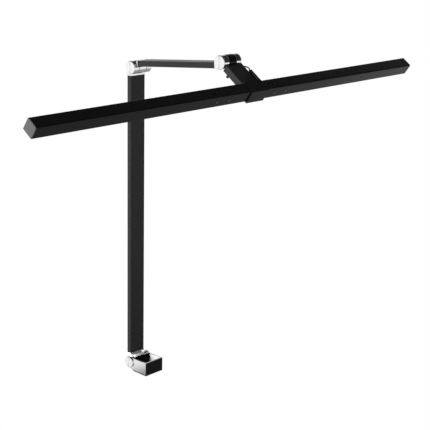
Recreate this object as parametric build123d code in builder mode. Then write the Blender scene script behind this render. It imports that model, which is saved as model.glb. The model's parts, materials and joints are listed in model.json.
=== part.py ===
"""Swing-arm picture light: sleeve bracket, post, arm and an LED bar, each a separate piece.

Frame: origin at the centre of the bracket's socket on its bottom plane, +X along the LED bar,
-Y the way the arm reaches, +Z up. Millimetres and degrees.
"""
from build123d import *
import os
from math import cos, radians, sin

os.makedirs("parts", exist_ok=True)

# Rectangular steel tube of the post and the arm
tube_width = 40.0
tube_depth = 12.0
tube_wall = 1.5
tube_corner = 1.2
post_length = 631.5
arm_length = 222.0
arm_rise = 5.9
spigot_length = 14.0
slip_fit = 0.05
tube_screw = 1.5

# The three friction hinges
hinge_radius = 14.0
hinge_reach = hinge_radius + 4.5
end_plate = 3.0
member_offset = 8.0
tip_offset = 6.2
tongue_half = 9.5
ear_inner = 11.0
ear_outer = 22.0
base_tongue_half = 12.5
base_ear_inner = 14.0
base_cap_radius = 13.0
washer_radius = 9.0
washer_thickness = 1.2
bolt_radius = 4.0
running_fit = 0.05
bolt_recess_radius = 7.0
bolt_recess_depth = 5.0
bolt_head_height = 3.6
cap_thickness = 3.0

# Sleeve bracket
socket_half_width = 22.5
socket_half_depth = 16.8
sleeve_wall = 3.0
sleeve_height = 30.5
front_plate = 1.2
base_axis_height = 19.0
barrel_gap = 0.4
saddle_wall = 1.8
pad_thickness = 0.8
set_screw_radius = 2.0
set_screw_heights = (8.0, 18.0)

# Head block
head_drop = 35.0
block_start = hinge_radius + 0.6
block_end = 69.0
block_half_width = 22.5
block_bottom = -7.5
block_top = 6.5
block_plate = 2.4
shell_wall = 2.0
cover_thickness = 2.0
button_radius = 3.0
button_reach = 8.0
button_clearance = 0.4
button_along = block_start + 12.9
button_across = -16.0

# Collar round the bar
collar_half_width = 24.5
collar_back = 3.0
collar_top = 1.2
strap_thickness = 2.5

# LED bar
bar_size = 25.0
bar_length = 1052.0
bar_offset = -15.0
bar_wall = 1.6
bar_nose = 3.0
bar_corner = 0.8
bar_along = block_end + collar_back + bar_size / 2
bar_across = -0.83
bar_cap = 2.0
window = 18.0
lens_thickness = 1.6
lens_flange = 1.0
web_low = -6.0
web_thickness = 1.5
led_pitch = 25.0
led_size = 3.5
screw_near = 66.0
screw_far = 99.0
screw_radius = 1.5

# Leads
lead_radius = 1.3
lead_hole = 1.6
inlet_radius = 5.0
inlet_height = 45.0

# Positions that follow from the sizes above
base_y = socket_half_depth + hinge_radius + barrel_gap + saddle_wall
base_z = base_axis_height
post_y = base_y + member_offset
post_foot_z = base_z + hinge_reach
post_top_z = post_foot_z + post_length
elbow_y = base_y
elbow_z = post_top_z + hinge_reach
arm_c = cos(radians(arm_rise))
arm_s = sin(radians(arm_rise))
arm_span = arm_length + 2 * hinge_reach
head_y = elbow_y - arm_span * arm_c + (member_offset + tip_offset) * arm_s
head_z = elbow_z + arm_span * arm_s + (member_offset + tip_offset) * arm_c
drop_c = cos(radians(head_drop))
drop_s = sin(radians(head_drop))
bore_radius = bolt_radius + running_fit

# Section planes at X = 0. Local x runs from the hinge axis along the member, local y to the side
# the member is offset to.
post_foot_plane = Plane(origin=(0, base_y, base_z), x_dir=(0, 0, 1), z_dir=(-1, 0, 0))
post_top_plane = Plane(origin=(0, elbow_y, elbow_z), x_dir=(0, 0, -1), z_dir=(1, 0, 0))
arm_root_plane = Plane(origin=(0, elbow_y, elbow_z), x_dir=(0, -arm_c, arm_s), z_dir=(-1, 0, 0))
arm_tip_plane = Plane(origin=(0, head_y, head_z), x_dir=(0, arm_c, -arm_s), z_dir=(-1, 0, 0))
head_plane = Plane(origin=(0, head_y, head_z), x_dir=(0, -drop_c, -drop_s), z_dir=(-1, 0, 0))


def save(piece, name):
    """Label a finished piece and write it as its own file."""
    piece.part.label = name
    export_step(piece.part, f"parts/{name}.step")


def hinge_end(plane, inner, outer, low, high):
    """The knuckle of one hinge end between two distances from X = 0, on both sides."""
    for side in (-1, 1):
        with BuildSketch(plane.offset(side * inner)) as area:
            Circle(hinge_radius)
            with Locations(((hinge_reach - end_plate) / 2, (low + high) / 2)):
                Rectangle(hinge_reach - end_plate, high - low)
            Circle(bore_radius, mode=Mode.SUBTRACT)
        extrude(area.sketch, amount=side * (outer - inner))


def end_plate_and_spigot(plane, low, high):
    """The flange against a tube's end and the spigot that fills the tube behind it."""
    mid = (low + high) / 2
    with BuildSketch(plane) as area:
        with Locations((hinge_reach - end_plate / 2, mid)):
            Rectangle(end_plate, high - low)
    extrude(area.sketch, amount=tube_width / 2, both=True)
    with BuildSketch(plane) as area:
        with Locations((hinge_reach + spigot_length / 2, mid)):
            Rectangle(spigot_length, tube_depth - 2 * tube_wall - 2 * slip_fit)
    extrude(area.sketch, amount=tube_width / 2 - tube_wall - slip_fit, both=True)
    with BuildSketch(plane) as area:
        with Locations((hinge_reach + spigot_length / 2, mid)):
            Rectangle(spigot_length + 2 * end_plate, 2 * lead_hole)
    extrude(area.sketch, amount=lead_hole, both=True, mode=Mode.SUBTRACT)


def cut_holes(seats, radius, depth):
    """Round holes straight in from each seat plane; a negative depth cuts outwards."""
    for seat in seats:
        with BuildSketch(seat) as area:
            Circle(radius)
        extrude(area.sketch, amount=-depth, mode=Mode.SUBTRACT)


def tongue_end(plane, half_width, seats):
    """Distal hinge end of a tube member: one middle knuckle on a neck."""
    low = member_offset - tube_depth / 2
    high = member_offset + tube_depth / 2
    with BuildPart() as piece:
        with BuildSketch(plane):
            Circle(hinge_radius)
            with Locations(((hinge_reach - end_plate) / 2, member_offset)):
                Rectangle(hinge_reach - end_plate, high - low)
            Circle(bore_radius, mode=Mode.SUBTRACT)
        extrude(amount=half_width, both=True)
        end_plate_and_spigot(plane, low, high)
        cut_holes(seats, tube_screw + slip_fit, 6)
    return piece


def fork_end(plane, offset, seats):
    """Hinge end of a tube member: two outer knuckles, with the tube offset from the axis."""
    low = offset - tube_depth / 2
    high = offset + tube_depth / 2
    with BuildPart() as piece:
        hinge_end(plane, ear_inner, ear_outer, low, high)
        for side in (-1, 1):
            with BuildSketch(plane.offset(side * ear_outer)):
                Circle(bolt_recess_radius)
            extrude(amount=-side * bolt_recess_depth, mode=Mode.SUBTRACT)
        end_plate_and_spigot(plane, low, high)
        cut_holes(seats, tube_screw + slip_fit, 6)
    return piece


def hinge_bolt(y, z, outer):
    """Shoulder bolt with a hexagon socket in its head, which sits on the +X side."""
    reach = outer - bolt_recess_depth
    with BuildPart() as piece:
        with BuildSketch(Plane(origin=(-reach, y, z), x_dir=(0, 1, 0), z_dir=(1, 0, 0))):
            Circle(bolt_radius)
        extrude(amount=2 * reach)
        with BuildSketch(Plane(origin=(reach, y, z), x_dir=(0, 1, 0), z_dir=(1, 0, 0))):
            Circle(bolt_recess_radius - 0.5)
        extrude(amount=bolt_head_height)
        with BuildSketch(Plane(origin=(-outer + 1.4, y, z), x_dir=(0, 1, 0), z_dir=(1, 0, 0))):
            Circle(bolt_radius - 1)
        extrude(amount=bolt_recess_depth)
        with BuildSketch(Plane(origin=(outer - 1.4, y, z), x_dir=(0, 1, 0), z_dir=(1, 0, 0))):
            RegularPolygon(radius=2.9, side_count=6)
        extrude(amount=-2.2, mode=Mode.SUBTRACT)
        chamfer(piece.faces().sort_by(Axis.X)[-1].outer_wire().edges(), 0.5)
    return piece


def hinge_nut(y, z, outer):
    """Lock nut on the bolt's threaded end, in the -X recess."""
    with BuildPart() as piece:
        plane = Plane(origin=(-outer + bolt_recess_depth, y, z), x_dir=(0, 1, 0), z_dir=(-1, 0, 0))
        with BuildSketch(plane):
            RegularPolygon(radius=bolt_recess_radius - 0.5, side_count=6)
            Circle(bolt_radius - 1 + slip_fit, mode=Mode.SUBTRACT)
        extrude(amount=3.4)
    return piece


def friction_washers(y, z, inner):
    """One dished friction washer against each outer knuckle."""
    with BuildPart() as piece:
        for side in (-1, 1):
            plane = Plane(origin=(side * inner, y, z), x_dir=(0, 1, 0), z_dir=(side, 0, 0))
            with BuildSketch(plane):
                Circle(washer_radius)
                Circle(bore_radius, mode=Mode.SUBTRACT)
            extrude(amount=-washer_thickness)
    return piece


def hinge_caps(y, z, outer, radius):
    """The round cover on each end of a hinge, with a boss in the bolt's recess."""
    with BuildPart() as piece:
        for side in (-1, 1):
            plane = Plane(origin=(side * outer, y, z), x_dir=(0, 1, 0), z_dir=(side, 0, 0))
            with BuildSketch(plane):
                Circle(radius)
            extrude(amount=cap_thickness)
            with BuildSketch(plane):
                Circle(bolt_recess_radius - slip_fit)
            extrude(amount=-1.0)
        outermost = [piece.faces().sort_by(Axis.X)[0], piece.faces().sort_by(Axis.X)[-1]]
        chamfer([face.outer_wire().edges()[0] for face in outermost], 0.8)
    return piece


def tube_member(base_plane, length, seats):
    """A length of the rectangular tube standing on a plane, with its screws countersunk."""
    with BuildPart() as piece:
        with BuildSketch(base_plane):
            RectangleRounded(tube_width, tube_depth, tube_corner)
            Rectangle(tube_width - 2 * tube_wall, tube_depth - 2 * tube_wall, mode=Mode.SUBTRACT)
        extrude(amount=length)
        cut_holes(seats, tube_screw + slip_fit, 6)
        cut_holes(seats, 2.8, -2)
    return piece


def screw_set(places, head_radius, head_height, shank_radius, shank_length):
    """Identical screws as one piece; each place is the seat plane under its head."""
    with BuildPart() as piece:
        for place in places:
            with BuildSketch(place):
                Circle(head_radius)
            extrude(amount=head_height)
            with BuildSketch(place):
                Circle(shank_radius)
            extrude(amount=-shank_length)
            with BuildSketch(place.offset(head_height)):
                RegularPolygon(radius=head_radius * 0.5, side_count=6)
            extrude(amount=-head_height * 0.6, mode=Mode.SUBTRACT)
    return piece


# Sleeve bracket: a box open at top and bottom whose cheeks run back into the hinge
sleeve_front = -(socket_half_depth + sleeve_wall)
cheek_outer = socket_half_width + sleeve_wall
cheek_radius = sleeve_height - base_z
saddle_radius = hinge_radius + barrel_gap + saddle_wall
side_plane = Plane(origin=(0, 0, 0), x_dir=(0, 1, 0), z_dir=(1, 0, 0))
with BuildPart() as mounting_sleeve:
    with BuildSketch(side_plane):
        with BuildLine():
            Polyline(
                (sleeve_front, 0),
                (base_y - 13, 0),
                (base_y + 0.43 * cheek_radius, base_z - 0.90 * cheek_radius),
                (base_y, base_z),
                (base_y, sleeve_height),
                (sleeve_front, sleeve_height),
                close=True,
            )
        make_face()
        with Locations((base_y, base_z)):
            Circle(cheek_radius)
    extrude(amount=cheek_outer, both=True)
    with BuildSketch(side_plane):
        with Locations((base_y / 2 - socket_half_depth / 2, sleeve_height / 2)):
            Rectangle(base_y + socket_half_depth, sleeve_height + 10)
        with Locations((base_y, base_z)):
            Circle(saddle_radius, mode=Mode.SUBTRACT)
        with Locations((base_y, base_z / 2 - 10)):
            Rectangle(2 * saddle_radius, base_z + 20, mode=Mode.SUBTRACT)
    extrude(amount=socket_half_width, both=True, mode=Mode.SUBTRACT)
    with BuildSketch(side_plane):
        with Locations((base_y, base_z)):
            Circle(hinge_radius + barrel_gap)
        with Locations((base_y + 15, base_z + 20 - hinge_radius - barrel_gap)):
            Rectangle(30, 40)
    extrude(amount=socket_half_width, both=True, mode=Mode.SUBTRACT)
    for side in (-1, 1):
        with BuildSketch(side_plane.offset(side * base_ear_inner)):
            with Locations((base_y, base_z)):
                Circle(washer_radius)
        extrude(amount=side * (socket_half_width - base_ear_inner))
    with BuildSketch(side_plane):
        with Locations((base_y, base_z)):
            Circle(bore_radius)
    extrude(amount=cheek_outer, both=True, mode=Mode.SUBTRACT)
    for side in (-1, 1):
        with BuildSketch(side_plane.offset(side * cheek_outer)):
            with Locations((base_y, base_z)):
                Circle(bolt_recess_radius)
        extrude(amount=-side * bolt_recess_depth, mode=Mode.SUBTRACT)
    with BuildSketch(side_plane.offset(cheek_outer)):
        with Locations([(0, height) for height in set_screw_heights]):
            Circle(set_screw_radius + slip_fit)
    extrude(amount=-sleeve_wall, mode=Mode.SUBTRACT)
save(mounting_sleeve, "mounting_sleeve")

with BuildPart() as sleeve_front_plate:
    with BuildSketch(Plane(origin=(0, sleeve_front, sleeve_height / 2), x_dir=(1, 0, 0), z_dir=(0, -1, 0))):
        RectangleRounded(2 * cheek_outer, sleeve_height, 0.8)
    extrude(amount=front_plate)
    chamfer(sleeve_front_plate.faces().sort_by(Axis.Y)[0].edges(), 0.3)
save(sleeve_front_plate, "sleeve_front_plate")

with BuildPart() as socket_back_pad:
    with BuildSketch(side_plane):
        with Locations((base_y, base_z)):
            Circle(saddle_radius + pad_thickness)
        with Locations((base_y, base_z / 2)):
            Rectangle(2 * (saddle_radius + pad_thickness), base_z)
        with Locations((base_y, base_z)):
            Circle(saddle_radius, mode=Mode.SUBTRACT)
        with Locations((base_y, base_z / 2)):
            Rectangle(2 * saddle_radius, base_z, mode=Mode.SUBTRACT)
        with Locations((base_y + 20, base_z)):
            Rectangle(40, 80, mode=Mode.SUBTRACT)
        with Locations((base_y, sleeve_height + 15)):
            Rectangle(60, 30, mode=Mode.SUBTRACT)
        with Locations((base_y, 0)):
            Rectangle(60, 2, mode=Mode.SUBTRACT)
    extrude(amount=socket_half_width - slip_fit, both=True)
save(socket_back_pad, "socket_back_pad")

with BuildPart() as sleeve_set_screws:
    for height in set_screw_heights:
        plane = Plane(origin=(cheek_outer - 0.2, 0, height), x_dir=(0, 1, 0), z_dir=(1, 0, 0))
        with BuildSketch(plane):
            Circle(set_screw_radius)
        extrude(amount=-(sleeve_wall - 0.2))
        with BuildSketch(plane):
            RegularPolygon(radius=1.1, side_count=6)
        extrude(amount=-1.6, mode=Mode.SUBTRACT)
save(sleeve_set_screws, "sleeve_set_screws")

# The three hinges' own hardware
for joint_name, y, z, inner, outer, radius in (
    ("base", base_y, base_z, base_ear_inner, cheek_outer, base_cap_radius),
    ("elbow", elbow_y, elbow_z, ear_inner, ear_outer, hinge_radius),
    ("head", head_y, head_z, ear_inner, ear_outer, hinge_radius),
):
    save(hinge_bolt(y, z, outer), joint_name + "_hinge_bolt")
    save(hinge_nut(y, z, outer), joint_name + "_hinge_nut")
    save(friction_washers(y, z, inner), joint_name + "_friction_washers")
    save(hinge_caps(y, z, outer, radius), joint_name + "_hinge_caps")

# Post
post_base_plane = Plane(origin=(0, post_y, post_foot_z), x_dir=(1, 0, 0), z_dir=(0, 0, 1))
post_back = post_y + tube_depth / 2
post_screw_rows = (post_foot_z + spigot_length / 2, post_top_z - spigot_length / 2)
inlet_z = post_foot_z + inlet_height
post_screw_seats = [
    Plane(origin=(x, post_back - 1, z), x_dir=(1, 0, 0), z_dir=(0, 1, 0))
    for z in post_screw_rows
    for x in (-11, 11)
]

post_foot_knuckle = tongue_end(post_foot_plane, base_tongue_half, post_screw_seats)
post_top_fork = fork_end(post_top_plane, member_offset, post_screw_seats)
post_tube = tube_member(post_base_plane, post_length, post_screw_seats)
inlet_seat = Plane(origin=(0, post_back, inlet_z), x_dir=(1, 0, 0), z_dir=(0, 1, 0))
with post_tube:
    cut_holes([inlet_seat], inlet_radius + slip_fit, tube_wall)
save(post_foot_knuckle, "post_foot_knuckle")
save(post_top_fork, "post_top_fork")
save(post_tube, "post_tube")
save(screw_set(post_screw_seats, 2.7, 0.9, tube_screw, 5.5), "post_screws")

with BuildPart() as power_inlet:
    with BuildSketch(inlet_seat):
        Circle(inlet_radius + 2)
    extrude(amount=1.5)
    with BuildSketch(inlet_seat):
        Circle(inlet_radius)
    extrude(amount=-8.5)
    with BuildSketch(inlet_seat.offset(1.5)):
        Circle(2.75)
    extrude(amount=-8.5, mode=Mode.SUBTRACT)
    chamfer(power_inlet.faces().sort_by(Axis.Y)[-1].outer_wire().edges(), 0.4)
save(power_inlet, "power_inlet")

with BuildPart() as inlet_pin:
    with BuildSketch(inlet_seat.offset(-7)):
        Circle(1.0)
    extrude(amount=7)
    fillet(inlet_pin.faces().sort_by(Axis.Y)[-1].edges(), 0.4)
save(inlet_pin, "inlet_pin")

with BuildPart() as post_lead:
    with BuildSketch(Plane(origin=(0, post_y, inlet_z + 12), x_dir=(1, 0, 0), z_dir=(0, 0, 1))):
        Circle(lead_radius)
    extrude(amount=post_top_z - inlet_z - 12)
save(post_lead, "post_lead")

# Arm
arm_foot_y = elbow_y - hinge_reach * arm_c + member_offset * arm_s
arm_foot_z = elbow_z + hinge_reach * arm_s + member_offset * arm_c
arm_base_plane = Plane(
    origin=(0, arm_foot_y, arm_foot_z), x_dir=(1, 0, 0), z_dir=(0, -arm_c, arm_s)
)
arm_screw_seats = []
for along in (spigot_length / 2, arm_length - spigot_length / 2):
    for x in (-11, 11):
        seat_y = arm_foot_y - along * arm_c - (tube_depth / 2 - 1) * arm_s
        seat_z = arm_foot_z + along * arm_s - (tube_depth / 2 - 1) * arm_c
        arm_screw_seats.append(
            Plane(origin=(x, seat_y, seat_z), x_dir=(1, 0, 0), z_dir=(0, -arm_s, -arm_c))
        )

arm_root_knuckle = tongue_end(arm_root_plane, tongue_half, arm_screw_seats)
arm_tip_fork = fork_end(arm_tip_plane, tip_offset, arm_screw_seats)
arm_tube = tube_member(arm_base_plane, arm_length, arm_screw_seats)
save(arm_root_knuckle, "arm_root_knuckle")
save(arm_tip_fork, "arm_tip_fork")
save(arm_tube, "arm_tube")
save(screw_set(arm_screw_seats, 2.7, 0.9, tube_screw, 5.5), "arm_screws")

with BuildPart() as arm_lead:
    with BuildSketch(arm_base_plane):
        Circle(lead_radius)
    extrude(amount=arm_length)
save(arm_lead, "arm_lead")


# Head: block, collar and bar share the frame of the head hinge. A place in it is given as the
# distance along the block from the hinge axis, the height across the block, and world X.
def head_place(along, across, x):
    """World point of a place on the head."""
    return (
        x,
        head_y - along * drop_c - across * drop_s,
        head_z - along * drop_s + across * drop_c,
    )


def facing_up(along, across, x):
    """Plane on the head whose normal leaves the block's top face."""
    return Plane(origin=head_place(along, across, x), x_dir=(1, 0, 0), z_dir=(0, -drop_s, drop_c))


def facing_down(along, across, x):
    """Plane on the head whose normal leaves the block's underside."""
    return Plane(origin=head_place(along, across, x), x_dir=(1, 0, 0), z_dir=(0, drop_s, -drop_c))


def facing_front(along, across, x):
    """Plane on the head whose normal points along the block, away from the hinge."""
    return Plane(origin=head_place(along, across, x), x_dir=(1, 0, 0), z_dir=(0, -drop_c, -drop_s))


def facing_back(along, across, x):
    """Plane on the head whose normal points back to the hinge."""
    return Plane(origin=head_place(along, across, x), x_dir=(1, 0, 0), z_dir=(0, drop_c, drop_s))


def block_box(along0, along1, across0, across1, half_width, mode=Mode.ADD):
    """A box square to the head, centred on X = 0."""
    with BuildSketch(head_plane) as area:
        with Locations(((along0 + along1) / 2, (across0 + across1) / 2)):
            Rectangle(along1 - along0, across1 - across0)
    extrude(area.sketch, amount=half_width, both=True, mode=mode)


def board_box(along, across0, across1, x, length, width):
    """A box that stands on or hangs from the driver board."""
    with BuildSketch(facing_up(along, across0, x)) as area:
        Rectangle(width, length)
    extrude(area.sketch, amount=across1 - across0)


shell_start = block_start + block_plate
cover_under = block_top - cover_thickness
floor_top = block_bottom + shell_wall
cavity_end = block_end - shell_wall
board_low = -0.5
board_high = 1.1
lead_across = board_high + lead_radius + 0.05
lead_start = block_start + 6.2
lead_end = 60.0
lead_x = 14.0
lead_loop_x = 29.6
lead_guard_x = 25.5
knuckle_screw_seats = [facing_back(block_start + 1.2, 0, x) for x in (-15.5, 15.5)]
post_places = ((44, -15.5), (62, -15.5), (33, 15.5), (51, 15.5))
cover_screw_seats = [facing_down(a, block_bottom + 1.4, x) for a, x in post_places]
collar_screw_seats = [facing_back(cavity_end, -1.5, x) for x in (-8, 8)]

with BuildPart() as head_knuckle:
    with BuildSketch(head_plane):
        Circle(hinge_radius)
        with Locations((block_start / 2, (block_bottom + block_top) / 2)):
            Rectangle(block_start, block_top - block_bottom)
        Circle(bore_radius, mode=Mode.SUBTRACT)
    extrude(amount=tongue_half, both=True)
    block_box(block_start, shell_start, block_bottom, block_top, block_half_width)
    cut_holes(knuckle_screw_seats, 1.25 + slip_fit, 4)
    cut_holes(knuckle_screw_seats, 2.4, -2)
    plate_edges = head_knuckle.edges().filter_by(
        lambda e: e.length > block_top - block_bottom - 0.1
        and abs(abs(e.center().X) - block_half_width) < 0.01
    )
    chamfer(plate_edges.sort_by(Axis.Y)[-2:], 2.0)
save(head_knuckle, "head_knuckle")

with BuildPart() as head_housing:
    block_box(shell_start, block_end, block_bottom, cover_under, block_half_width)
    block_box(
        shell_start + shell_wall,
        cavity_end,
        floor_top,
        cover_under,
        block_half_width - shell_wall,
        Mode.SUBTRACT,
    )
    for along, x in post_places:
        with BuildSketch(facing_up(along, floor_top, x)):
            Circle(3.0)
        extrude(amount=cover_under - floor_top)
    cut_holes(cover_screw_seats, 1.2 + slip_fit, 20)
    cut_holes(cover_screw_seats, 2.3, -2)
    cut_holes(knuckle_screw_seats, 1.25 + slip_fit, block_plate + shell_wall)
    cut_holes(collar_screw_seats, 1.25 + slip_fit, shell_wall)
    with BuildSketch(facing_down(button_along, floor_top, button_across)):
        Circle(button_radius + button_clearance)
    extrude(amount=shell_wall, mode=Mode.SUBTRACT)
    for along in (lead_start, lead_end):
        place = head_place(along, lead_across, block_half_width - shell_wall)
        with BuildSketch(Plane(origin=place, x_dir=(0, -drop_c, -drop_s), z_dir=(1, 0, 0))):
            Circle(lead_hole)
        extrude(amount=shell_wall, mode=Mode.SUBTRACT)
    with BuildSketch(facing_front(cavity_end, lead_across, lead_x)):
        Circle(lead_hole)
    extrude(amount=shell_wall, mode=Mode.SUBTRACT)
save(head_housing, "head_housing")

with BuildPart() as head_cover:
    block_box(shell_start, block_end, cover_under, block_top, block_half_width)
    for along, x in post_places:
        with BuildSketch(facing_up(along, cover_under, x)):
            Circle(1.2 + slip_fit)
        extrude(amount=1.3, mode=Mode.SUBTRACT)
    side_edges = head_cover.edges().filter_by(
        lambda e: e.length > block_end - shell_start - 0.1 and abs(e.center().X) > block_half_width - 0.1
    )
    chamfer(side_edges.group_by(Axis.Z)[-1], 0.8)
save(head_cover, "head_cover")

save(screw_set(knuckle_screw_seats, 2.2, 1.0, 1.25, 4.8), "knuckle_screws")
save(screw_set(cover_screw_seats, 2.2, 1.1, 1.2, 11.6), "cover_screws")

with BuildPart() as driver_board:
    board_box(44.5, board_low, board_high, 0, 39, 23)
    board_box(button_along, board_low, board_high, button_across + 0.8, 10, 10)
save(driver_board, "driver_board")

with BuildPart() as driver_parts:
    board_box(36, board_high, board_high + 1.4, -3, 5, 6)
    board_box(47, board_high, board_high + 1.1, 4, 6, 4)
    board_box(56, board_high, board_high + 1.8, -4, 4, 8)
    board_box(33, board_low - 4.4, board_low, 2, 8, 8)
    board_box(58, board_low - 4, board_low, 0, 5, 12)
    with BuildSketch(facing_down(45, board_low, 2)):
        Circle(3.2)
    extrude(amount=4.6)
save(driver_parts, "driver_parts")

with BuildPart() as button_switch:
    board_box(button_along, board_low - 2.2, board_low, button_across, 6, 6)
save(button_switch, "button_switch")

with BuildPart() as push_button:
    button_top = floor_top + 1.5
    with BuildSketch(facing_down(button_along, button_top, button_across)):
        Circle(button_radius)
    extrude(amount=button_top - block_bottom + button_reach)
    with BuildSketch(facing_up(button_along, floor_top + 0.3, button_across)):
        Circle(button_radius + button_clearance + 0.8)
    extrude(amount=1.0)
    fillet(push_button.faces().sort_by(Axis.Z)[0].edges(), 0.8)
save(push_button, "push_button")

# Captive lead: out of the block's side, a free loop, then under its guard and into the bar
lead_points = [
    head_place(lead_start, lead_across, 8),
    head_place(lead_start, lead_across, lead_loop_x),
    head_place(lead_start + 11, 7.0, lead_loop_x),
    head_place(41, lead_across, lead_guard_x),
    head_place(lead_end, lead_across, lead_guard_x),
    head_place(lead_end, lead_across, lead_x),
    head_place(80, lead_across, lead_x),
]
with BuildPart() as head_lead:
    with BuildLine() as lead_path:
        FilletPolyline(*lead_points, radius=[4.0, 5.0, 5.0, 2.8, 4.0])
    with BuildSketch(Plane(origin=lead_points[0], x_dir=(0, -drop_c, -drop_s), z_dir=(1, 0, 0))):
        Circle(lead_radius)
    sweep()
save(head_lead, "head_lead")

guard_start = 39.0
guard_wall = 1.2
guard_out = 29.0
guard_low = -0.5
guard_high = 10.5
with BuildPart() as lead_guard:
    side_of_block = Plane(
        origin=head_place(0, 0, block_half_width), x_dir=(0, -drop_c, -drop_s), z_dir=(-1, 0, 0)
    )
    with BuildSketch(side_of_block):
        with Locations(((guard_start + block_end) / 2, (guard_low + guard_high) / 2)):
            Rectangle(block_end - guard_start, guard_high - guard_low)
    extrude(amount=-(guard_out - block_half_width))
    outer_face = lead_guard.faces().sort_by(Axis.X)[-1]
    fillet(outer_face.edges().filter_by(lambda e: e.length > 20), 2.0)
    with BuildSketch(side_of_block):
        with Locations(((guard_start + block_end) / 2, (guard_low + guard_high) / 2)):
            Rectangle(
                block_end - guard_start - 2 * guard_wall, guard_high - guard_low - 2 * guard_wall
            )
    extrude(amount=-(guard_out - block_half_width - guard_wall), mode=Mode.SUBTRACT)
    with BuildSketch(facing_front(guard_start, 3.3, lead_guard_x + 0.6)):
        Circle(2.0)
    extrude(amount=guard_wall, mode=Mode.SUBTRACT)
    for along in (46, 52, 58):
        with BuildSketch(facing_front(along, (guard_low + guard_high) / 2, guard_out)):
            Rectangle(1.2, guard_high - guard_low - 5)
        extrude(amount=1.0)
save(lead_guard, "lead_guard")

# Collar round the bar
half_bar = bar_size / 2
bar_back = bar_along - half_bar
bar_front = bar_along + half_bar
bar_low = bar_across - half_bar
bar_high = bar_across + half_bar
strap_screw_along = (block_end + bar_back) / 2
strap_screw_seats = [
    facing_down(strap_screw_along, bar_low - strap_thickness + 1.2, x) for x in (-19, 19)
]
with BuildPart() as collar_body:
    block_box(block_end, bar_back, bar_low, bar_high + collar_top, collar_half_width)
    block_box(bar_back, bar_front, bar_high, bar_high + collar_top, collar_half_width)
    cut_holes(collar_screw_seats, 1.25 + slip_fit, shell_wall + 3)
    cut_holes(strap_screw_seats, 1.0 + slip_fit, 8)
    with BuildSketch(facing_front(block_end, lead_across, lead_x)):
        Circle(lead_hole)
    extrude(amount=bar_back - block_end, mode=Mode.SUBTRACT)
save(collar_body, "collar_body")

with BuildPart() as collar_strap:
    block_box(
        bar_front,
        bar_front + strap_thickness,
        bar_low - strap_thickness,
        bar_high + collar_top,
        collar_half_width,
    )
    block_box(block_end, bar_front, bar_low - strap_thickness, bar_low, collar_half_width)
    cut_holes(strap_screw_seats, 1.0 + slip_fit, 8)
    cut_holes(strap_screw_seats, 1.8, -2)
    long_edges = collar_strap.edges().filter_by(Axis.X)
    chamfer(long_edges.sort_by(Axis.Y)[0], 0.5)
save(collar_strap, "collar_strap")
save(screw_set(collar_screw_seats, 2.2, 1.0, 1.25, 4.6), "collar_screws")
save(screw_set(strap_screw_seats, 1.7, 0.9, 1.0, 6.5), "strap_screws")

# LED bar: local x along the block, local y across it, from the bar's own centre
bar_left = bar_offset - bar_length / 2
bar_right = bar_offset + bar_length / 2
profile_length = bar_length - 2 * bar_cap
inner_half = half_bar - bar_wall
web_top = web_low + web_thickness
lens_low = -half_bar
lens_shelf = lens_low + lens_thickness


def bar_section(x):
    """Section plane of the bar at world X = x, normal towards -X."""
    place = head_place(bar_along, bar_across, x)
    return Plane(origin=place, x_dir=(0, -drop_c, -drop_s), z_dir=(-1, 0, 0))


def bar_outline():
    """The bar's outer section, with the large radius on its upper front edge."""
    with BuildLine() as outline:
        FilletPolyline(
            (-half_bar, -half_bar),
            (half_bar, -half_bar),
            (half_bar, half_bar),
            (-half_bar, half_bar),
            radius=[bar_corner, bar_corner, bar_nose, bar_corner],
            close=True,
        )
    make_face(outline.edges())


def bar_box(x0, x1, along0, along1, across0, across1, mode=Mode.ADD):
    """A box square to the bar between two world X values."""
    with BuildSketch(bar_section(x1)) as area:
        with Locations(((along0 + along1) / 2, (across0 + across1) / 2)):
            Rectangle(along1 - along0, across1 - across0)
    extrude(area.sketch, amount=x1 - x0, mode=mode)


screw_xs = [bar_offset + side * x for side in (-1, 1) for x in (screw_near, screw_far)]
front_screw_seats = [facing_front(bar_front, bar_across, x) for x in screw_xs]
top_screw_seats = [facing_up(bar_along, bar_high, x) for x in screw_xs]

with BuildPart() as bar_profile:
    with BuildSketch(bar_section(bar_right - bar_cap)):
        bar_outline()
        with Locations((0, (web_top + inner_half) / 2)):
            Rectangle(2 * inner_half, inner_half - web_top, mode=Mode.SUBTRACT)
        with Locations((0, (lens_shelf + web_low) / 2)):
            Rectangle(2 * inner_half, web_low - lens_shelf, mode=Mode.SUBTRACT)
        with Locations((0, lens_low)):
            Rectangle(window, 2 * lens_thickness, mode=Mode.SUBTRACT)
    extrude(amount=profile_length)
    cut_holes(front_screw_seats, screw_radius + slip_fit, 2 * bar_wall)
    cut_holes(top_screw_seats, screw_radius + slip_fit, 2 * bar_wall)
    with BuildSketch(facing_front(bar_back, lead_across, lead_x)):
        Circle(lead_hole)
    extrude(amount=bar_wall, mode=Mode.SUBTRACT)
save(bar_profile, "bar_profile")

for name, outer_x, side in (("bar_cap_left", bar_left, -1), ("bar_cap_right", bar_right, 1)):
    with BuildPart() as bar_end:
        with BuildSketch(bar_section(outer_x)):
            bar_outline()
        extrude(amount=side * bar_cap)
        chamfer(bar_end.faces().sort_by(Axis.X)[0 if side < 0 else -1].edges(), 0.4)
        inner = outer_x - side * bar_cap
        bar_box(
            min(inner, inner - side * 6),
            max(inner, inner - side * 6),
            -inner_half + 0.1,
            inner_half - 0.1,
            web_top + 0.1,
            inner_half - 0.1,
        )
    save(bar_end, name)

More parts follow.
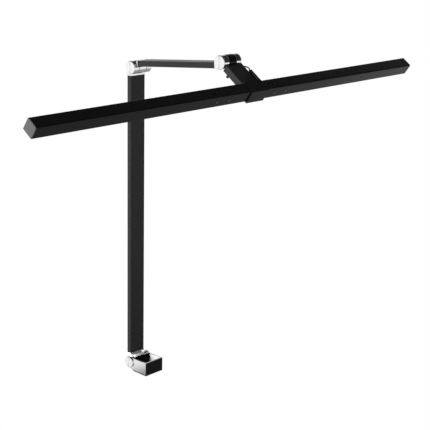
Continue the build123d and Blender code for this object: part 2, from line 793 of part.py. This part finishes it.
with BuildPart() as bar_inner_blocks:
    for side in (-1, 1):
        middle = bar_offset + side * (screw_near + screw_far) / 2
        bar_box(middle - 25, middle + 25, -6, inner_half, web_top, inner_half)
    cut_holes(front_screw_seats, screw_radius + slip_fit, 7)
    cut_holes(top_screw_seats, screw_radius + slip_fit, 7)
save(bar_inner_blocks, "bar_inner_blocks")
save(screw_set(front_screw_seats, 2.4, 0.8, screw_radius, 6), "bar_front_screws")
save(screw_set(top_screw_seats, 2.4, 0.8, screw_radius, 6), "bar_top_screws")

with BuildPart() as led_board:
    bar_box(bar_left + 8, bar_right - 8, -6, 6, web_low - 1.5, web_low)
save(led_board, "led_board")

led_count = int((bar_length - 50) // led_pitch) + 1
with BuildPart() as leds:
    for index in range(led_count):
        x = bar_offset + (index - (led_count - 1) / 2) * led_pitch
        bar_box(
            x - led_size / 2,
            x + led_size / 2,
            -led_size / 2,
            led_size / 2,
            web_low - 2.3,
            web_low - 1.5,
        )
save(leds, "leds")

with BuildPart() as diffuser:
    lens_left = bar_left + bar_cap
    lens_right = bar_right - bar_cap
    bar_box(lens_left, lens_right, -window / 2 + 0.1, window / 2 - 0.1, lens_low, lens_shelf)
    bar_box(
        lens_left, lens_right, -inner_half + 0.3, inner_half - 0.3, lens_shelf, lens_shelf + lens_flange
    )
save(diffuser, "diffuser")
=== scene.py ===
# %% [markdown]
# A picture light, built in Blender over its own CAD parts
#
# The real thing is a slim black bar of light. A collar grips the bar, a small head block
# carries the collar, a flat arm carries the block, and a flat post stands in a bright
# sleeve bracket. Three round friction hinges join them. The CAD model already gives every
# part its true place and size, so this lesson is about what makes metal look like metal:
# soft edges, small fittings, and finishes that change a little over a surface.
#
# The first cell loads the CAD frame. Every length is in metres.

import bpy
import json
from math import cos, pi, radians, sin
from mathutils import Matrix, Vector

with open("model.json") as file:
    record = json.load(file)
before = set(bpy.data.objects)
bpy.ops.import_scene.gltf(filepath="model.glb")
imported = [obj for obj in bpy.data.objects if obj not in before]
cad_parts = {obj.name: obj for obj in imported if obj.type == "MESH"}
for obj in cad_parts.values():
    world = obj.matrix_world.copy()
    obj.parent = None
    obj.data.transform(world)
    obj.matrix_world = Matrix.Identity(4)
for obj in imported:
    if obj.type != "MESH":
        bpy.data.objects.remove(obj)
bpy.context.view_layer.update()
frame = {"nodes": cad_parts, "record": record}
nodes = frame["nodes"]

# %% [markdown]
# The camera
#
# A product camera stands low and to the left, tips down a little and uses a long lens, so
# that the bar runs away to the right without bulging. A long lens could also be faked with
# an orthographic camera, but then the bar's far end would not look smaller. The camera's
# three axes are built from its heading, dip and roll, which is easier to adjust than a
# rotation typed in as one matrix.

# %% Camera
heading, dip, roll = radians(-46.98), radians(16.09), radians(1.27)
camera_place = (-1.64486, -1.73254, 1.05813)
toward = Vector((sin(heading) * cos(dip), -cos(heading) * cos(dip), sin(dip)))
level = Vector((cos(heading), sin(heading), 0))
upright = toward.cross(level)
right = level * cos(roll) + upright * sin(roll)
up = upright * cos(roll) - level * sin(roll)
camera_data = bpy.data.cameras.new("product_camera")
camera_data.lens = 95.44
camera_data.sensor_width = 36
camera_data.clip_end = 60
camera = bpy.data.objects.new("product_camera", camera_data)
bpy.context.collection.objects.link(camera)
axes = Matrix((right, up, toward)).transposed()
camera.matrix_world = Matrix.Translation(camera_place) @ axes.to_4x4()
bpy.context.scene.camera = camera
print("camera stands", round(camera.location.length, 2), "m from the socket")

# %% [markdown]
# The studio
#
# Black satin metal is drawn almost entirely by what it reflects. The studio is a pale floor
# and a surround that is white low down behind the object and nearly black above and in
# front of it. Polished barrels show this as one dark band along their upper half, which is
# how the eye knows that they are round. The surround could be a ring of real panels; a
# shaded world is smoother, has no edges to show in the chrome, and renders with less noise.
# One large soft panel on the left puts the pale edge on every face that looks left.

# %% Small helpers for shader trees
def add(tree, kind, **values):
    """One node, with its plain settings and its unlinked inputs filled in."""
    node = tree.nodes.new(kind)
    for name, value in values.items():
        if hasattr(node, name):
            setattr(node, name, value)
        else:
            node.inputs[name.replace("_", " ")].default_value = value
    return node


def link(tree, source, target):
    """Join an output socket to an input socket."""
    tree.links.new(source, target)


def math(tree, operation, a, b=None, c=None):
    """A maths node whose operands are sockets or plain numbers."""
    node = tree.nodes.new("ShaderNodeMath")
    node.operation = operation
    for index, value in enumerate((a, b, c)):
        if value is None:
            continue
        if hasattr(value, "links"):
            tree.links.new(value, node.inputs[index])
        else:
            node.inputs[index].default_value = value
    return node.outputs["Value"]


def object_place(tree):
    """Where a point sits on its own part, in metres of the shared frame."""
    return tree.nodes.new("ShaderNodeTexCoord").outputs["Object"]


def split(tree, vector):
    """The X, Y and Z of a vector socket."""
    node = tree.nodes.new("ShaderNodeSeparateXYZ")
    tree.links.new(vector, node.inputs["Vector"])
    return node.outputs


def ramp(tree, value, low, high, first, last):
    """A smooth change from first to last while the value goes from low to high."""
    node = tree.nodes.new("ShaderNodeMapRange")
    node.interpolation_type = "SMOOTHSTEP"
    tree.links.new(value, node.inputs["Value"])
    for label, number in zip(("From Min", "From Max", "To Min", "To Max"), (low, high, first, last)):
        node.inputs[label].default_value = number
    return node.outputs["Result"]


print("helpers ready")

# %% World: bright behind, nearly black overhead and in front
world = bpy.data.worlds.new("white_surround")
bpy.context.scene.world = world
world.use_nodes = True
tree = world.node_tree
tree.nodes.clear()
direction = split(tree, add(tree, "ShaderNodeTexCoord").outputs["Generated"])
behind = ramp(tree, direction["Y"], -0.25, 0.35, 0.0, 1.0)
leftward = ramp(tree, direction["X"], -0.75, -0.2, 0.8, 0.0)
low = ramp(tree, direction["Z"], 0.3, 0.62, 1.0, 0.0)
glow = math(tree, "MULTIPLY", math(tree, "MAXIMUM", behind, leftward), low)
glow = math(tree, "MULTIPLY_ADD", glow, 0.95, 0.03)
lit = add(tree, "ShaderNodeBackground")
link(tree, glow, lit.inputs["Strength"])
seen = add(tree, "ShaderNodeBackground", Strength=1.0)
rays = add(tree, "ShaderNodeLightPath")
blend = add(tree, "ShaderNodeMixShader")
link(tree, rays.outputs["Is Camera Ray"], blend.inputs["Fac"])
link(tree, lit.outputs["Background"], blend.inputs[1])
link(tree, seen.outputs["Background"], blend.inputs[2])
sky = add(tree, "ShaderNodeOutputWorld")
link(tree, blend.outputs["Shader"], sky.inputs["Surface"])
print("world made")

# %% [markdown]
# The floor is far below the light, because the bracket hangs from something. It glows softly.
# Its glow is painted dimmer towards the spot straight under the object, a painted shadow like
# the one a lamp casts on paper beneath it, and painted brighter towards the left and back, the
# lit side. That dimming gives the faces that look downwards their slow change of tone. The
# camera sees plain white instead, which keeps the outline of the object clean. A lit diffuse
# floor could do the same, but its brightness would change with every light that is moved.

# %% Floor and soft panel
floor_level = -0.9
floor_half = 25
corners = ((-1, -1), (1, -1), (1, 1), (-1, 1))
floor_mesh = bpy.data.meshes.new("studio_floor")
floor_mesh.from_pydata(
    [(x * floor_half, y * floor_half, floor_level) for x, y in corners], [], [(0, 1, 2, 3)]
)
floor = bpy.data.objects.new("studio_floor", floor_mesh)
bpy.context.collection.objects.link(floor)
paper = bpy.data.materials.new("pale_paper")
paper.use_nodes = True
tree = paper.node_tree
tree.nodes.clear()
spot = object_place(tree)
flat_spot = add(tree, "ShaderNodeVectorMath", operation="MULTIPLY")
flat_spot.inputs[1].default_value = (1, 1, 0)
link(tree, spot, flat_spot.inputs[0])
reach = add(tree, "ShaderNodeVectorMath", operation="LENGTH")
link(tree, flat_spot.outputs["Vector"], reach.inputs[0])
side = add(tree, "ShaderNodeVectorMath", operation="DOT_PRODUCT")
side.inputs[1].default_value = (-0.7, 0.7, 0)
link(tree, spot, side.inputs[0])
# Painted shadow and painted light: the glow drops to 0.3 near the object and is raised towards the left and
# back.
painted_shadow_falloff = ramp(tree, reach.outputs["Value"], 1.2, 4.2, 0.3, 1.0)
painted_left_back_light = ramp(tree, side.outputs["Value"], 0.0, 3.0, 0.0, 0.6)
strength = math(tree, "MINIMUM", math(tree, "ADD", painted_shadow_falloff, painted_left_back_light), 1.0)
dim = add(tree, "ShaderNodeEmission")
link(tree, strength, dim.inputs["Strength"])
white = add(tree, "ShaderNodeEmission", Strength=1.0)
rays = add(tree, "ShaderNodeLightPath")
blend = add(tree, "ShaderNodeMixShader")
link(tree, rays.outputs["Is Camera Ray"], blend.inputs["Fac"])
link(tree, dim.outputs["Emission"], blend.inputs[1])
link(tree, white.outputs["Emission"], blend.inputs[2])
output = add(tree, "ShaderNodeOutputMaterial")
link(tree, blend.outputs["Shader"], output.inputs["Surface"])
floor_mesh.materials.append(paper)

panel_place, panel_target = Vector((-3.0, 1.0, 1.9)), Vector((0, 0, 0.4))
panel_data = bpy.data.lights.new("left_panel", "AREA")
panel_data.size = 2.4
panel_data.energy = 330
panel = bpy.data.objects.new("left_panel", panel_data)
bpy.context.collection.objects.link(panel)
panel.location = panel_place
panel.rotation_mode = "QUATERNION"
panel.rotation_quaternion = (panel_target - panel_place).to_track_quat("-Z", "Y")
panel.visible_glossy = False
panel.visible_camera = False
bpy.context.scene.view_settings.view_transform = "Standard"
print("floor at", floor_level, "m and one soft panel")

# %% [markdown]
# Finishes built from small patterns
#
# Real finishes are never one flat value. Each pattern below is a node group: a little
# machine with named inputs and outputs, made once and used by several materials with their
# own numbers. The first is powder coat, the baked paint on the tubes. It has a very fine
# orange-peel bump and a slow drift in shine where it was sprayed thicker.

# %% Node group: powder coat
def new_group(name, inputs, outputs):
    """An empty shader group with float, colour or vector sockets."""
    group = bpy.data.node_groups.new(name, "ShaderNodeTree")
    kinds = {"float": "NodeSocketFloat", "colour": "NodeSocketColor", "vector": "NodeSocketVector"}
    for label, kind, value in inputs:
        socket = group.interface.new_socket(name=label, in_out="INPUT", socket_type=kinds[kind])
        socket.default_value = value
    for label, kind in outputs:
        group.interface.new_socket(name=label, in_out="OUTPUT", socket_type=kinds[kind])
    entry = group.nodes.new("NodeGroupInput")
    leave = group.nodes.new("NodeGroupOutput")
    return group, entry, leave


def noise(tree, vector, scale, detail=2.0, rough=0.5):
    """Noise over a vector socket; scale may be a number or a socket."""
    node = tree.nodes.new("ShaderNodeTexNoise")
    tree.links.new(vector, node.inputs["Vector"])
    if hasattr(scale, "links"):
        tree.links.new(scale, node.inputs["Scale"])
    else:
        node.inputs["Scale"].default_value = scale
    node.inputs["Detail"].default_value = detail
    node.inputs["Roughness"].default_value = rough
    return node.outputs["Fac"]


def tint(tree, colour, factor):
    """A colour socket made lighter or darker by a factor socket."""
    node = tree.nodes.new("ShaderNodeVectorMath")
    node.operation = "SCALE"
    tree.links.new(colour, node.inputs[0])
    tree.links.new(factor, node.inputs["Scale"])
    return node.outputs["Vector"]


surface = [("Colour", "colour"), ("Roughness", "float"), ("Height", "float")]
coat, coat_in, coat_out = new_group(
    "powder_coat",
    [
        ("Colour", "colour", (0.02, 0.02, 0.02, 1)),
        ("Shine", "float", 0.35),
        ("Shine Drift", "float", 0.08),
        ("Peel Scale", "float", 900.0),
    ],
    surface,
)
where = object_place(coat)
slow = noise(coat, where, 18.0, 3.0)
fine = noise(coat, where, coat_in.outputs["Peel Scale"], 2.0)
speck = noise(coat, where, 2600.0, 1.0)
lift = math(coat, "MULTIPLY_ADD", slow, 0.5, 0.75)
lift = math(coat, "MULTIPLY_ADD", speck, 0.25, math(coat, "SUBTRACT", lift, 0.12))
link(coat, tint(coat, coat_in.outputs["Colour"], lift), coat_out.inputs["Colour"])
drift = math(coat, "MULTIPLY", math(coat, "SUBTRACT", slow, 0.5), coat_in.outputs["Shine Drift"])
drift = math(coat, "MULTIPLY", drift, 2.0)
shine = math(coat, "ADD", coat_in.outputs["Shine"], drift)
link(coat, shine, coat_out.inputs["Roughness"])
link(coat, fine, coat_out.inputs["Height"])
print("powder_coat outputs", [s.name for s in coat_out.inputs if s.name])

# %% [markdown]
# Polished metal gets fine wiping marks and a faint haze that follows handling. Turned caps
# also carry the lathe's rings: very fine grooves round the hinge pin, which pull every
# highlight into a pair of fans. The rings need the centre of each cap, so the group takes
# the centre as an input and works out the distance from it.

# %% Node group: polished and turned metal
polish, polish_in, polish_out = new_group(
    "polished_metal",
    [
        ("Colour", "colour", (0.85, 0.85, 0.86, 1)),
        ("Shine", "float", 0.08),
        ("Haze", "float", 0.06),
        ("Centre", "vector", (0, 0, 0)),
        ("Ring Pitch", "float", 0.0004),
        ("Ring Depth", "float", 0.0),
    ],
    surface,
)
where = object_place(polish)
offset = polish.nodes.new("ShaderNodeVectorMath")
offset.operation = "SUBTRACT"
link(polish, where, offset.inputs[0])
link(polish, polish_in.outputs["Centre"], offset.inputs[1])
flat = polish.nodes.new("ShaderNodeVectorMath")
flat.operation = "MULTIPLY"
flat.inputs[1].default_value = (0, 1, 1)
link(polish, offset.outputs["Vector"], flat.inputs[0])
radius = polish.nodes.new("ShaderNodeVectorMath")
radius.operation = "LENGTH"
link(polish, flat.outputs["Vector"], radius.inputs[0])
turn = math(polish, "DIVIDE", radius.outputs["Value"], polish_in.outputs["Ring Pitch"])
wobble = noise(polish, where, 300.0, 2.0)
angle = math(polish, "MULTIPLY", turn, 2 * pi)
ring = math(polish, "SINE", math(polish, "MULTIPLY_ADD", wobble, 1.5, angle))
ring = math(polish, "MULTIPLY", ring, polish_in.outputs["Ring Depth"])
cloud = noise(polish, where, 45.0, 4.0)
wipe = noise(polish, where, 420.0, 2.0)
haze = math(polish, "MULTIPLY", math(polish, "MULTIPLY_ADD", wipe, 0.4, cloud), polish_in.outputs["Haze"])
link(polish, math(polish, "ADD", polish_in.outputs["Shine"], haze), polish_out.inputs["Roughness"])
bright = math(polish, "MULTIPLY_ADD", cloud, 0.08, 0.95)
link(polish, tint(polish, polish_in.outputs["Colour"], bright), polish_out.inputs["Colour"])
link(polish, math(polish, "MULTIPLY_ADD", wipe, 0.02, ring), polish_out.inputs["Height"])
print("polished_metal inputs", [s.name for s in polish_in.outputs if s.name])

# %% [markdown]
# An extruded profile keeps faint drawing lines along its length. Stretching a noise along X
# draws them: the pattern changes quickly across the bar and very slowly along it. Moulded
# plastic instead has a spark-eroded grain, the same in all directions, which is a plain fine
# noise with a little contrast.

# %% Node groups: drawn lines and moulded grain
drawn, drawn_in, drawn_out = new_group(
    "drawn_lines",
    [
        ("Colour", "colour", (0.02, 0.02, 0.02, 1)),
        ("Shine", "float", 0.3),
        ("Line Contrast", "float", 0.1),
    ],
    surface,
)
where = object_place(drawn)
squeeze = drawn.nodes.new("ShaderNodeVectorMath")
squeeze.operation = "MULTIPLY"
squeeze.inputs[1].default_value = (0.012, 1, 1)
link(drawn, where, squeeze.inputs[0])
lines = noise(drawn, squeeze.outputs["Vector"], 2200.0, 2.0, 0.6)
patch = noise(drawn, where, 9.0, 2.0)
change = math(drawn, "MULTIPLY", math(drawn, "SUBTRACT", lines, 0.5), drawn_in.outputs["Line Contrast"])
link(drawn, math(drawn, "ADD", drawn_in.outputs["Shine"], change), drawn_out.inputs["Roughness"])
shade = math(drawn, "MULTIPLY_ADD", change, 2.0, math(drawn, "MULTIPLY_ADD", patch, 0.2, 0.9))
link(drawn, tint(drawn, drawn_in.outputs["Colour"], shade), drawn_out.inputs["Colour"])
link(drawn, lines, drawn_out.inputs["Height"])

grain, grain_in, grain_out = new_group(
    "moulded_grain",
    [
        ("Colour", "colour", (0.02, 0.02, 0.02, 1)),
        ("Shine", "float", 0.5),
        ("Grain Scale", "float", 1800.0),
    ],
    surface,
)
where = object_place(grain)
pits = noise(grain, where, grain_in.outputs["Grain Scale"], 1.0)
flow = noise(grain, where, 30.0, 2.0)
satin_drift = math(grain, "MULTIPLY_ADD", flow, 0.12, grain_in.outputs["Shine"])
link(grain, satin_drift, grain_out.inputs["Roughness"])
mould = math(grain, "MULTIPLY_ADD", pits, 0.3, math(grain, "MULTIPLY_ADD", flow, 0.2, 0.75))
link(grain, tint(grain, grain_in.outputs["Colour"], mould), grain_out.inputs["Colour"])
link(grain, pits, grain_out.inputs["Height"])
print("groups made:", [g.name for g in bpy.data.node_groups])

# %% [markdown]
# Edges tell the eye how thick and how real a thing is. Painted castings lose a little colour
# on their corners and every machined corner is rounded by a fraction of a millimetre. The
# Bevel node rounds corners in the shading only. Comparing its normal with the flat one gives
# a mask that is zero on the faces and rises along the corners, with no extra geometry. The
# lighter colour laid along this mask is partly wear and partly a painted highlight, the thin
# line of light that a rounded corner catches.

# %% Node groups: soft edges and the inside of a box
edge, edge_in, edge_out = new_group(
    "soft_edges", [("Amount", "float", 1.0)], [("Mask", "float"), ("Normal", "vector")]
)
bevel = edge.nodes.new("ShaderNodeBevel")
bevel.samples = 6
bevel.inputs["Radius"].default_value = 0.0006
shape = edge.nodes.new("ShaderNodeNewGeometry")
agree = edge.nodes.new("ShaderNodeVectorMath")
agree.operation = "DOT_PRODUCT"
link(edge, bevel.outputs["Normal"], agree.inputs[0])
link(edge, shape.outputs["Normal"], agree.inputs[1])
corner = ramp(edge, agree.outputs["Value"], 1.0, 0.8, 0.0, 1.0)
where = object_place(edge)
patchy = math(edge, "MULTIPLY_ADD", noise(edge, where, 160.0, 3.0), 0.8, 0.4)
corner_wear_and_highlight = math(edge, "MULTIPLY", math(edge, "MULTIPLY", corner, patchy), edge_in.outputs["Amount"])
link(edge, corner_wear_and_highlight, edge_out.inputs["Mask"])
link(edge, bevel.outputs["Normal"], edge_out.inputs["Normal"])

inner, inner_in, inner_out = new_group(
    "inside_box", [("Half Width", "float", 0.02), ("Half Depth", "float", 0.02)], [("Mask", "float")]
)
where = split(inner, object_place(inner))
off_x, off_y = (math(inner, "ABSOLUTE", where[axis]) for axis in "XY")
in_width = math(inner, "LESS_THAN", off_x, inner_in.outputs["Half Width"])
in_depth = math(inner, "LESS_THAN", off_y, inner_in.outputs["Half Depth"])
link(inner, math(inner, "MULTIPLY", in_width, in_depth), inner_out.inputs["Mask"])
print("edge and box groups ready")

# %% [markdown]
# From a pattern to a material
#
# A material joins one pattern group to the Principled shader and turns the pattern's height
# into a bump. The bump's distance is the real depth of the texture, a few hundredths of a
# millimetre, so it stays right at any zoom. The edge mask then mixes in the lighter edge
# colour, partly wear and partly a painted highlight on the corners.

# %% Material maker
def finish(name, group, values, depth, strength=0.4, edge_wear_and_highlight=None, **shader_values):
    """A material from one pattern group; depth is the bump's real depth in metres."""
    material = bpy.data.materials.new(name)
    material.use_nodes = True
    tree = material.node_tree
    shader = tree.nodes["Principled BSDF"]
    pattern = tree.nodes.new("ShaderNodeGroup")
    pattern.name = "pattern"
    pattern.node_tree = group
    for label, value in values.items():
        pattern.inputs[label].default_value = value
    for label, value in shader_values.items():
        shader.inputs[label.replace("_", " ")].default_value = value
    edges = tree.nodes.new("ShaderNodeGroup")
    edges.node_tree = edge
    bump = tree.nodes.new("ShaderNodeBump")
    bump.inputs["Strength"].default_value = strength
    bump.inputs["Distance"].default_value = depth
    # Painted highlight and wear: the lighter edge colour goes onto the corners through the edge mask.
    paint = tree.nodes.new("ShaderNodeMix")
    paint.name = "paint"
    paint.data_type = "RGBA"
    paint.inputs["B"].default_value = edge_wear_and_highlight or pattern.inputs["Colour"].default_value
    link(tree, edges.outputs["Mask"], paint.inputs["Factor"])
    link(tree, pattern.outputs["Colour"], paint.inputs["A"])
    link(tree, paint.outputs["Result"], shader.inputs["Base Color"])
    link(tree, pattern.outputs["Roughness"], shader.inputs["Roughness"])
    link(tree, pattern.outputs["Height"], bump.inputs["Height"])
    link(tree, edges.outputs["Normal"], bump.inputs["Normal"])
    link(tree, bump.outputs["Normal"], shader.inputs["Normal"])
    return material


def wear(material, *names):
    """Give CAD nodes a material."""
    for name in names:
        mesh = nodes[name].data
        if not mesh.materials:
            mesh.materials.append(material)
        for slot in nodes[name].material_slots:
            slot.material = material


def grey(value):
    """A neutral colour."""
    return (value, value, value, 1)


# Each finish's lighter edge colour below is partly wear and partly a painted highlight on its corners.
tube_paint = finish(
    "black_tube_paint", coat, {"Colour": grey(0.011), "Shine": 0.34}, 0.00002, edge_wear_and_highlight=grey(0.035),
    Specular_IOR_Level=0.2,
)
cast_look = {"Colour": grey(0.006), "Shine": 0.32, "Peel Scale": 700.0}
casting_paint = finish(
    "black_casting_paint", coat, cast_look, 0.00003, edge_wear_and_highlight=grey(0.05), Specular_IOR_Level=0.18
)
collar_paint = finish(
    "collar_paint", coat, cast_look, 0.00003, edge_wear_and_highlight=grey(0.012), Specular_IOR_Level=0.18
)
bar_black = finish(
    "black_anodised_bar", drawn, {"Colour": grey(0.007), "Shine": 0.3, "Line Contrast": 0.12}, 0.00001,
    edge_wear_and_highlight=grey(0.03), Specular_IOR_Level=0.18,
)
housing_black = finish(
    "black_moulded_housing", grain, {"Colour": grey(0.016), "Shine": 0.42}, 0.00003, edge_wear_and_highlight=grey(0.03),
    Specular_IOR_Level=0.2,
)
# Painted highlight: the end cap's much lighter edge colour stands in for light caught on its rounded rim.
cap_grey = finish("bar_end_plastic", grain, {"Colour": grey(0.045), "Shine": 0.4}, 0.00002, edge_wear_and_highlight=grey(0.12))
gloss_black = finish(
    "front_plate_gloss", grain, {"Colour": (0.006, 0.007, 0.007, 1), "Shine": 0.12, "Grain Scale": 300.0},
    0.000004, edge_wear_and_highlight=grey(0.05), Specular_IOR_Level=0.1,
)
rubber = finish("pad_rubber", grain, {"Colour": grey(0.004), "Shine": 0.7}, 0.00006, Specular_IOR_Level=0.1)
jacket = finish("lead_jacket", grain, {"Colour": grey(0.006), "Shine": 0.45}, 0.00002)
chrome = finish("chrome_plate", polish, {"Shine": 0.07}, 0.00001, Metallic=1.0)
steel = finish(
    "zinc_hardware", polish, {"Colour": grey(0.55), "Shine": 0.25, "Haze": 0.15}, 0.00002, Metallic=1.0
)
black_screw = finish(
    "blackened_screw", polish, {"Colour": grey(0.05), "Shine": 0.25}, 0.00001, Metallic=1.0
)
bar_screw = finish("satin_bar_screw", polish, {"Colour": grey(0.2), "Shine": 0.5}, 0.00001, Metallic=1.0)
satin = finish("satin_casting", polish, {"Colour": grey(0.6), "Shine": 0.5, "Haze": 0.2}, 0.00002)
bare = finish("sawn_aluminium", drawn, {"Colour": grey(0.6), "Shine": 0.35}, 0.00002, Metallic=1.0)
board = finish("white_solder_mask", grain, {"Colour": grey(0.75), "Shine": 0.35}, 0.00001)
chips = finish("moulded_components", grain, {"Colour": grey(0.03), "Shine": 0.5}, 0.00002)
phosphor = finish("led_phosphor", grain, {"Colour": (0.9, 0.7, 0.2, 1), "Shine": 0.5}, 0.00002)
opal = finish(
    "opal_lens", grain, {"Colour": (0.86, 0.86, 0.83, 1), "Shine": 0.38}, 0.00001, Subsurface_Weight=0.4,
    Subsurface_Scale=0.004,
)

# %% [markdown]
# Two finishes need something of their own. The bracket is plated outside, but plating never
# reaches well into a deep pocket, so inside it shows pale dull casting. It also darkens a
# little towards its front, along its lower edge and in the gap beside the hinge knuckle.
# Those shades are painted into the colour, from a point's place on the part. Real reflections
# could give them only if the room were modelled round the light.
#
# The caps are turned: their grooves run round the pin, so the shine is stretched across them,
# which is what the anisotropic setting with a radial tangent does. The grey fan above and
# below the pin is what a turned face shows under one soft lamp. It is painted too, because
# the even surround here is too pale to draw it.

# %% Bracket plating and turned caps
pocket_half_width = 0.0226
pocket_half_depth = 0.0169
gap_half_width = 0.0224
gap_front = 0.0246
sleeve = finish("bracket_plating", polish, {"Shine": 0.08, "Haze": 0.1}, 0.00001)
tree = sleeve.node_tree
shader = tree.nodes["Principled BSDF"]
pocket = tree.nodes.new("ShaderNodeGroup")
pocket.node_tree = inner
pocket.inputs["Half Width"].default_value = pocket_half_width
pocket.inputs["Half Depth"].default_value = pocket_half_depth
inside = pocket.outputs["Mask"]
link(tree, math(tree, "SUBTRACT", 1.0, inside), shader.inputs["Metallic"])
dull = math(tree, "MULTIPLY_ADD", inside, 0.4, tree.nodes["pattern"].outputs["Roughness"])
link(tree, dull, shader.inputs["Roughness"])
casting = tree.nodes.new("ShaderNodeMix")
casting.data_type = "RGBA"
casting.inputs["B"].default_value = grey(0.5)
link(tree, inside, casting.inputs["Factor"])
link(tree, tree.nodes["paint"].outputs["Result"], casting.inputs["A"])
spot = split(tree, object_place(tree))
slope = math(tree, "MULTIPLY_ADD", spot["Y"], 0.5, spot["Z"])
low_front = ramp(tree, slope, -0.008, 0.03, 0.35, 1.0)
between_cheeks = math(tree, "LESS_THAN", math(tree, "ABSOLUTE", spot["X"]), gap_half_width)
past_wall = math(tree, "GREATER_THAN", spot["Y"], gap_front)
beside_knuckle = math(tree, "MULTIPLY", between_cheeks, past_wall)
gap_shade = math(tree, "MULTIPLY_ADD", beside_knuckle, -0.95, 1.0)
rim_shade = ramp(tree, spot["Z"], 0.0018, 0.003, 0.2, 1.0)
shade = math(tree, "MULTIPLY", math(tree, "MULTIPLY", gap_shade, rim_shade), low_front)
link(tree, tint(tree, casting.outputs["Result"], shade), shader.inputs["Base Color"])

cap_look = {"Colour": grey(0.98), "Shine": 0.2, "Haze": 0.05, "Ring Pitch": 0.0009, "Ring Depth": 1.0}
joints = frame["record"]["behaviour"]["joints"]
pins = {entry["name"]: entry["pos_m"] for entry in joints if "pos_m" in entry}
caps = {}
for hinge, joint in (("base", "base_tilt"), ("elbow", "elbow"), ("head", "head_tilt")):
    pin = pins[joint]
    caps[hinge] = finish(
        hinge + "_turned_cap", polish, {**cap_look, "Centre": pin}, 0.000008, 0.3,
        Metallic=1.0, Anisotropic=0.8,
    )
    tree = caps[hinge].node_tree
    shader = tree.nodes["Principled BSDF"]
    tangent = tree.nodes.new("ShaderNodeTangent")
    tangent.direction_type = "RADIAL"
    tangent.axis = "X"
    link(tree, tangent.outputs["Tangent"], shader.inputs["Tangent"])
    # Painted reflection: a grey fan above and below the pin darkens the cap colour, standing in for the
    # streak a soft lamp draws on a turned face.
    spot = split(tree, object_place(tree))
    sideways = math(tree, "ABSOLUTE", math(tree, "SUBTRACT", spot["Y"], pin[1]))
    upward = math(tree, "ABSOLUTE", math(tree, "SUBTRACT", spot["Z"], pin[2]))
    spread = math(tree, "DIVIDE", sideways, math(tree, "ADD", upward, 0.0015))
    fan = ramp(tree, spread, 0.1, 0.5, 0.78, 1.0)
    painted_fan_colour = tint(tree, tree.nodes["paint"].outputs["Result"], fan)
    link(tree, painted_fan_colour, shader.inputs["Base Color"])
print("turned caps on", list(caps))

# %% [markdown]
# Every part of the CAD model now gets its finish, the hidden ones too. A real light can be
# taken apart, and an opened model should show zinc bolts and a white circuit board, not grey
# blanks. A list kept in one place is easier to check than a name set on each part in turn.

# %% A finish for every part
wear(tube_paint, "post_tube", "arm_tube")
wear(casting_paint, "head_knuckle")
wear(collar_paint, "collar_body", "collar_strap")
wear(bar_black, "bar_profile")
wear(housing_black, "head_housing", "head_cover", "lead_guard", "push_button", "power_inlet")
wear(cap_grey, "bar_cap_left", "bar_cap_right")
wear(gloss_black, "sleeve_front_plate")
wear(rubber, "socket_back_pad")
wear(jacket, "post_lead", "arm_lead", "head_lead")
wear(sleeve, "mounting_sleeve")
wear(satin, "post_foot_knuckle")
wear(chrome, "post_top_fork", "arm_root_knuckle", "arm_tip_fork")
for hinge in caps:
    wear(caps[hinge], hinge + "_hinge_caps")
    wear(steel, hinge + "_hinge_bolt", hinge + "_hinge_nut", hinge + "_friction_washers")
wear(steel, "sleeve_set_screws", "inlet_pin")
wear(
    black_screw, "post_screws", "arm_screws", "knuckle_screws", "cover_screws", "collar_screws",
    "strap_screws", "bar_top_screws",
)
wear(bar_screw, "bar_front_screws")
wear(bare, "bar_inner_blocks")
wear(board, "driver_board", "led_board")
wear(chips, "driver_parts", "button_switch")
wear(phosphor, "leds")
wear(opal, "diffuser")
print("materials:", len(bpy.data.materials))
